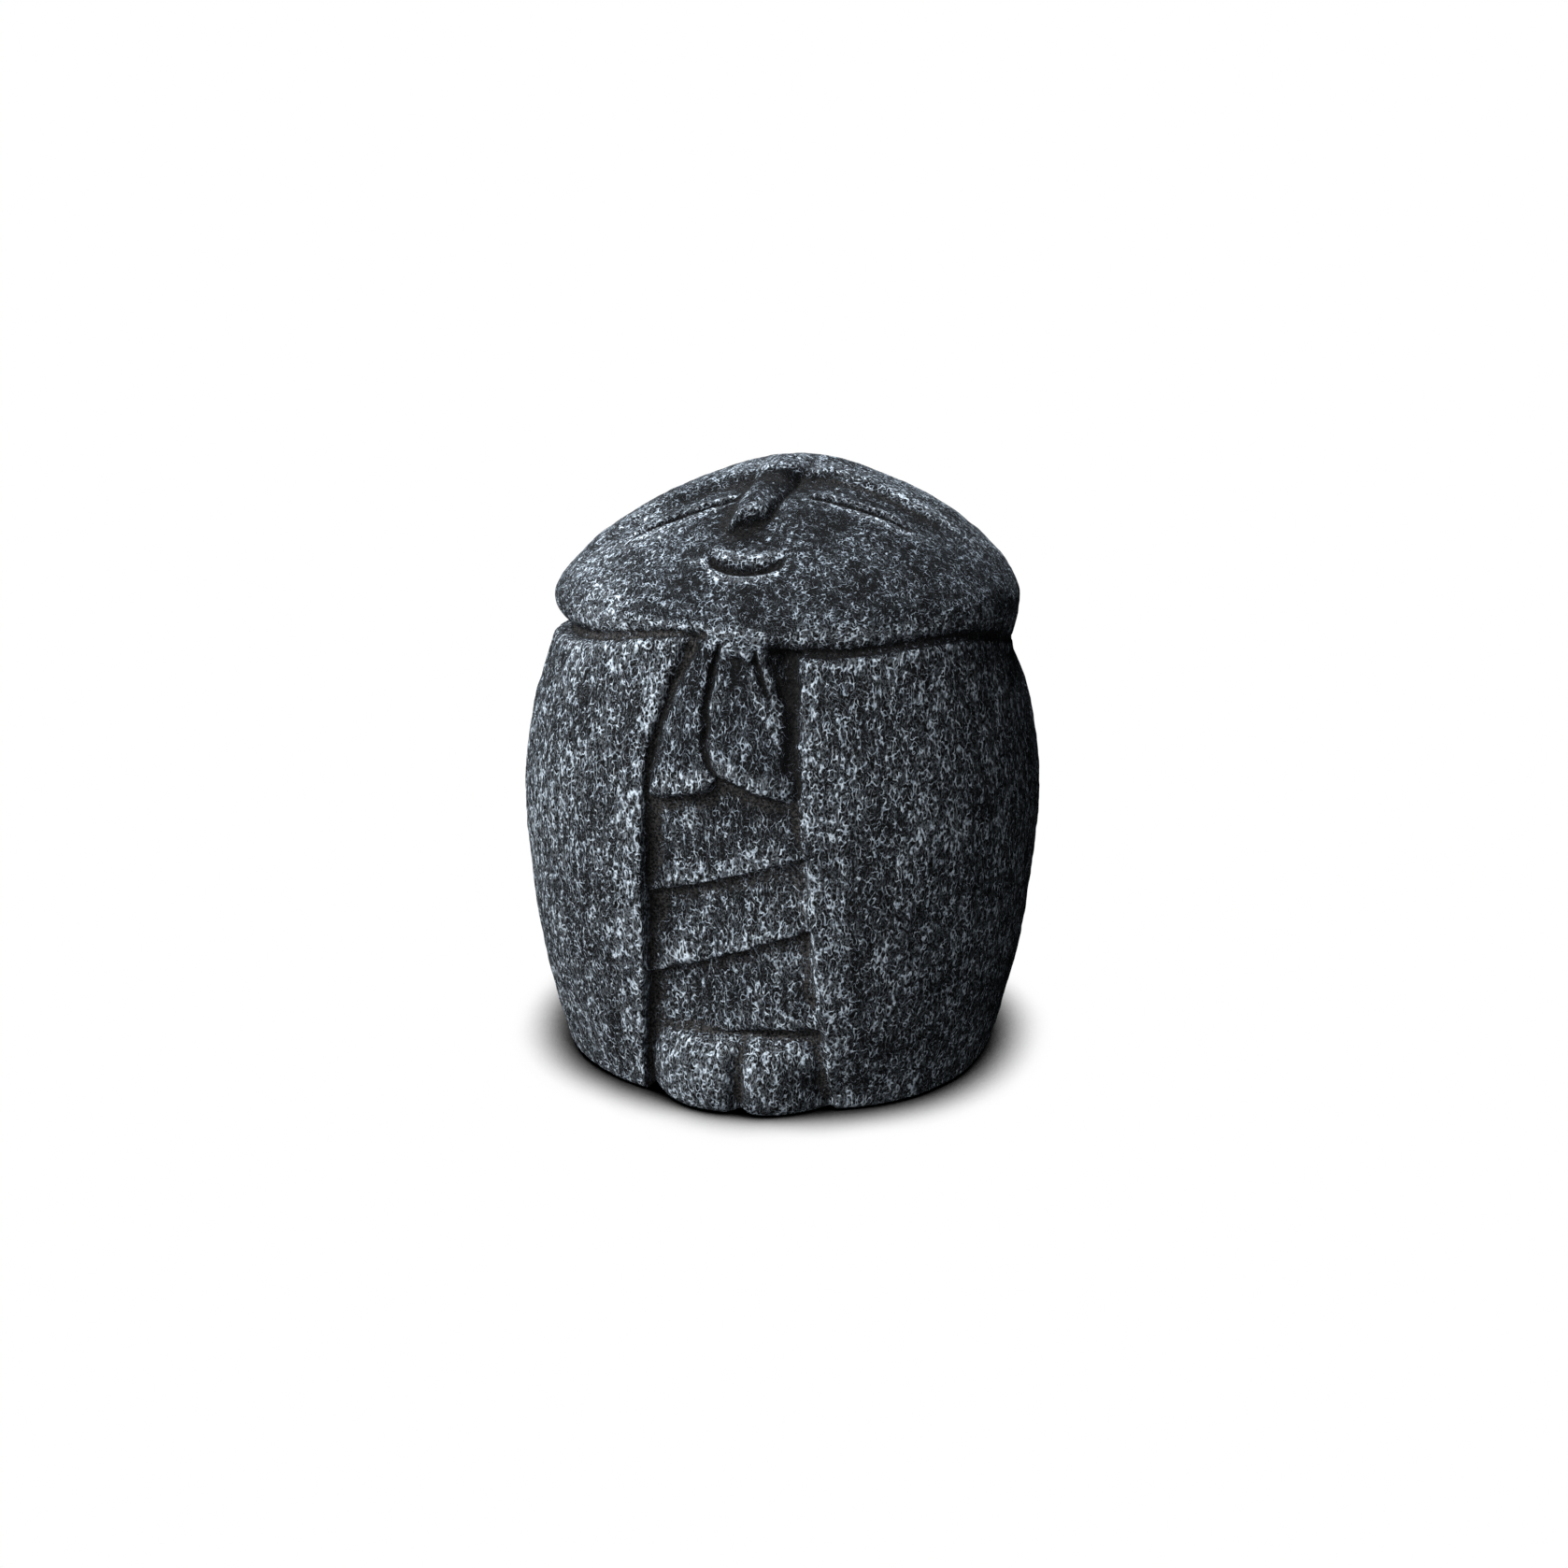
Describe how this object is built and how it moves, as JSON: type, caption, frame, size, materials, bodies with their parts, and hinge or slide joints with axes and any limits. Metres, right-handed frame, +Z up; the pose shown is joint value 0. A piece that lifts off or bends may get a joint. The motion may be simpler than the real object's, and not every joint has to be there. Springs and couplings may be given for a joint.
{
  "type": "stone jizo statue",
  "caption": "Garden jizo figure cast as a single block of dark stone: broad domed head tilted to the sky, closed eyes, sleeves meeting under the chin, robe open over wrapped layers and feet.",
  "frame": {"origin": "middle of the flat underside, on the ground", "axes": "+Z up, the figure faces -Y, +X is to its left hand side as the figure stands"},
  "size_m": [0.1738, 0.1521, 0.2056],
  "materials": {
    "cast_stone": "dark charcoal cast stone with a fine worm-like grain, pale blue-grey on its raised edges"
  },
  "bodies": {
    "root": {"jizo_statue": "cast_stone"}
  },
  "joints": []
}
